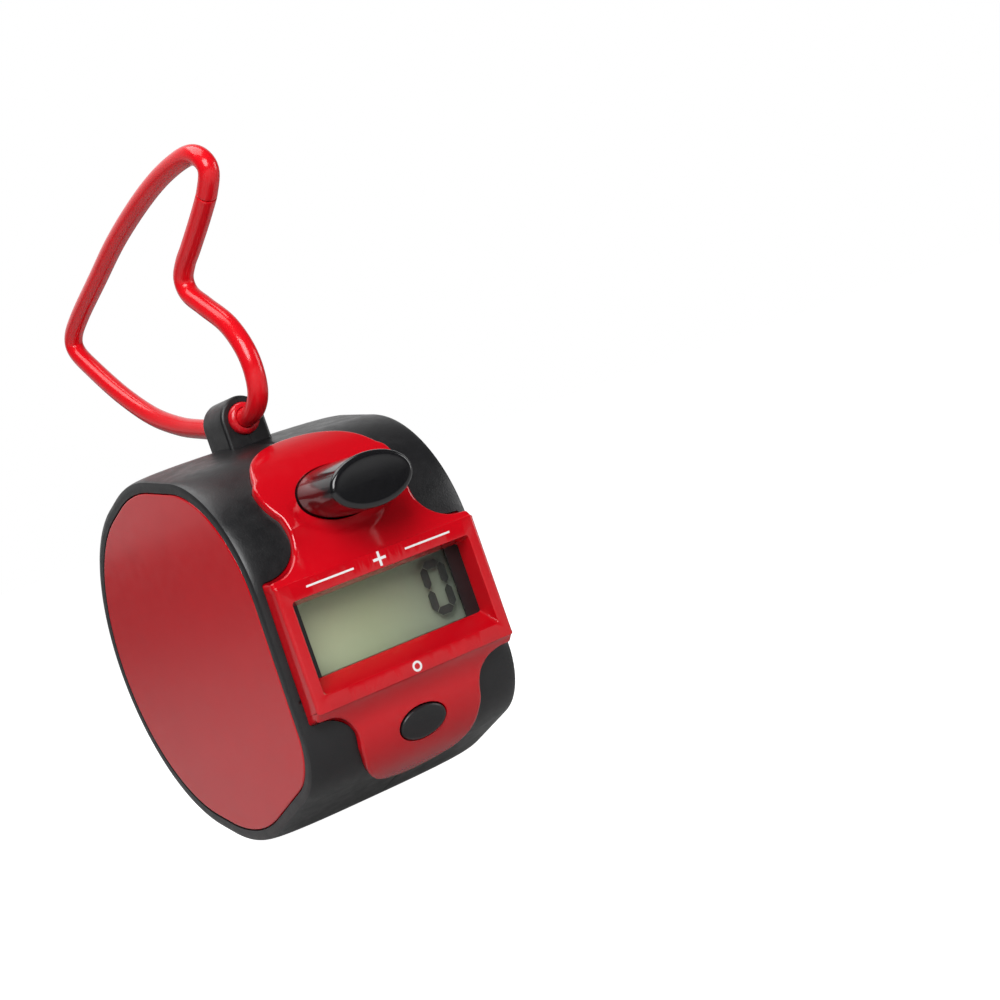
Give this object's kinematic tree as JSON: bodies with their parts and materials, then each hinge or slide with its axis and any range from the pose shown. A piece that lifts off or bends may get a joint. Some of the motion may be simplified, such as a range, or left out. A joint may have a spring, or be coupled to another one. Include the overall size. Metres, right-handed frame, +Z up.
{
  "type": "hand tally counter",
  "caption": "Handheld digital tally counter with a round black body, red fascia and side panel, tall oval count button, small reset button, LCD window and a red finger loop",
  "frame": {"origin": "centre of the front face of the display bezel", "axes": "+X across the display, to the right when facing it; +Y into the body, away from the display; +Z up, toward the eyelet lug and the finger loop"},
  "size_m": [0.029, 0.0704, 0.0813],
  "materials": {
    "black_satin_plastic": "fine-grained satin",
    "black_gloss_plastic": "polished",
    "red_gloss_plastic": "polished",
    "red_soft_cord": "smooth flexible PVC",
    "display_glass": "clear with a faint grey-green tint",
    "display_back": "grey-green reflector",
    "display_segments": "dark liquid crystal segments",
    "board": "green solder mask",
    "resin": "cured black epoxy",
    "ceramic": "small components",
    "silicone_strip": "conductive silicone",
    "nickel_steel": "nickel-plated"
  },
  "bodies": {
    "case": {"left_shell": "black_satin_plastic", "right_shell": "black_satin_plastic", "fascia": "red_gloss_plastic", "side_panel": "red_gloss_plastic", "end_cover": "black_satin_plastic", "case_screws": "nickel_steel", "count_spring": "nickel_steel", "count_switch": "nickel_steel", "reset_switch": "nickel_steel", "lcd_frame": "black_satin_plastic", "lcd_front_glass": "display_glass", "lcd_rear_glass": "display_back", "lcd_digits": "display_segments", "zebra_strips": "silicone_strip", "main_pcb": "board", "chip_blob": "resin", "smd_parts": "ceramic", "pcb_screws": "nickel_steel", "battery_cell": "nickel_steel", "contact_positive": "nickel_steel", "contact_negative": "nickel_steel", "lead_positive": "red_gloss_plastic", "lead_negative": "black_gloss_plastic"},
    "count_key": {"count_button": "black_gloss_plastic"},
    "count_contact": {"count_plunger": "black_satin_plastic"},
    "reset_key": {"reset_button": "black_satin_plastic"},
    "reset_contact": {"reset_plunger": "black_satin_plastic"},
    "battery_door": {"battery_cover": "black_satin_plastic", "cover_screw": "nickel_steel"},
    "loop": {"loop_hub": "red_soft_cord", "finger_loop": "red_soft_cord", "loop_joint_plug": "red_soft_cord"}
  },
  "joints": [
    {"name": "count_press", "type": "slide", "parent": "case", "child": "count_key", "axis": [0, 1, 0], "range_m": [0, 0.0024], "stiffness_N_per_m": 150, "deforming": ["count_spring"]},
    {"name": "count_contact_press", "type": "slide", "parent": "case", "child": "count_contact", "axis": [0, 1, 0], "range_m": [0, 0.00025]},
    {"name": "reset_press", "type": "slide", "parent": "case", "child": "reset_key", "axis": [0, 1, 0], "range_m": [0, 0.0004], "stiffness_N_per_m": 400},
    {"name": "reset_contact_press", "type": "slide", "parent": "case", "child": "reset_contact", "axis": [0, 1, 0], "range_m": [0, 0.0004]},
    {"name": "battery_door_lift", "type": "slide", "parent": "case", "child": "battery_door", "axis": [1, 0, 0], "range_m": [0, 0.01]},
    {"name": "loop_swing", "type": "hinge", "parent": "case", "child": "loop", "pos_m": [0, 0.024, 0.027], "axis": [0, 1, 0], "range_deg": [-85, 85], "stiffness_Nm_per_rad": 0.0005}
  ],
  "couplings": [
    {"joint": "count_contact_press", "follows": "count_press", "ratio": 0.10417},
    {"joint": "reset_contact_press", "follows": "reset_press", "ratio": 1}
  ]
}
